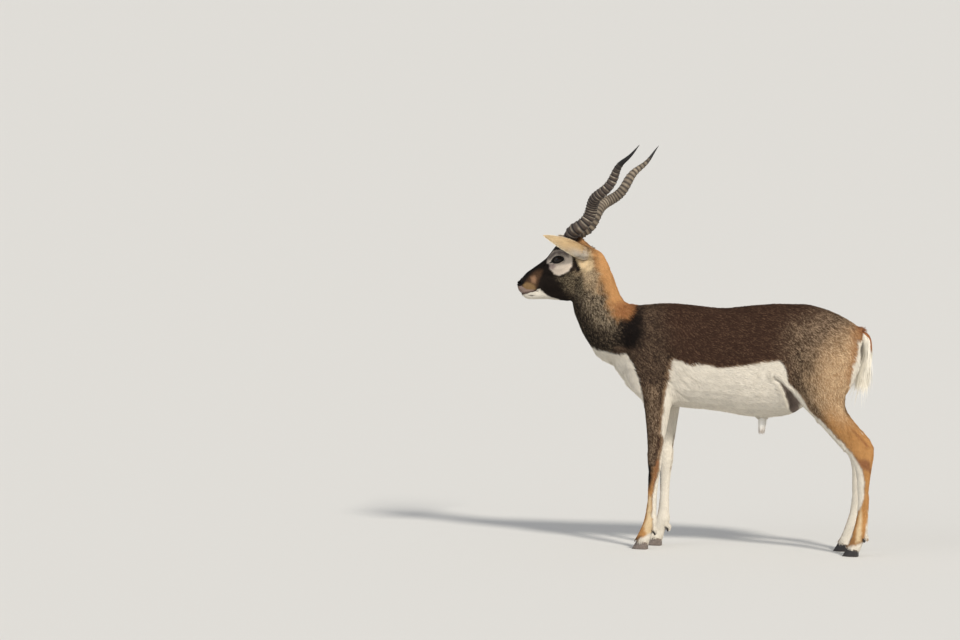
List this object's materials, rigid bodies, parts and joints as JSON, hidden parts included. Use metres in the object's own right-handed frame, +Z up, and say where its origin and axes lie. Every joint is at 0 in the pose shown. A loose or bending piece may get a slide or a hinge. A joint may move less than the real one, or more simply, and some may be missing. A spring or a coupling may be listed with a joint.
{
  "type": "blackbuck",
  "caption": "Standing adult male blackbuck with ringed spiral horns, as a still life-size animal model that rests on its hooves.",
  "frame": {"origin": "on the floor under the middle of the whole model's box", "axes": "+Z up from the soles to the horn tips, -X the way the animal faces, -Y its left side"},
  "size_m": [1.1516, 0.3318, 1.2683],
  "materials": {
    "coat_dark": "short deep brown fur",
    "coat_tan": "short tan fur",
    "coat_white": "white fur",
    "ear_buff": "fine buff fur",
    "horn": "ringed horn, dull",
    "hoof": "hard hoof horn, slight gloss",
    "eye": "wet dark eye"
  },
  "bodies": {
    "root": {"ear_left": "ear_buff", "ear_right": "ear_buff", "eye_left": "eye", "eye_right": "eye", "fore_left_arm": "coat_dark", "fore_left_cannon": "coat_tan", "fore_left_claw_inner": "hoof", "fore_left_claw_outer": "hoof", "fore_left_foot": "coat_white", "fore_right_arm": "coat_dark", "fore_right_cannon": "coat_tan", "fore_right_claw_inner": "hoof", "fore_right_claw_outer": "hoof", "fore_right_foot": "coat_white", "head": "coat_dark", "hind_left_cannon": "coat_tan", "hind_left_claw_inner": "hoof", "hind_left_claw_outer": "hoof", "hind_left_foot": "coat_white", "hind_left_thigh": "coat_tan", "hind_right_cannon": "coat_tan", "hind_right_claw_inner": "hoof", "hind_right_claw_outer": "hoof", "hind_right_foot": "coat_white", "hind_right_thigh": "coat_tan", "horn_left": "horn", "horn_right": "horn", "neck": "coat_dark", "tail": "coat_white", "torso_belly": "coat_dark", "torso_chest": "coat_dark", "torso_rump": "coat_dark"}
  },
  "joints": []
}
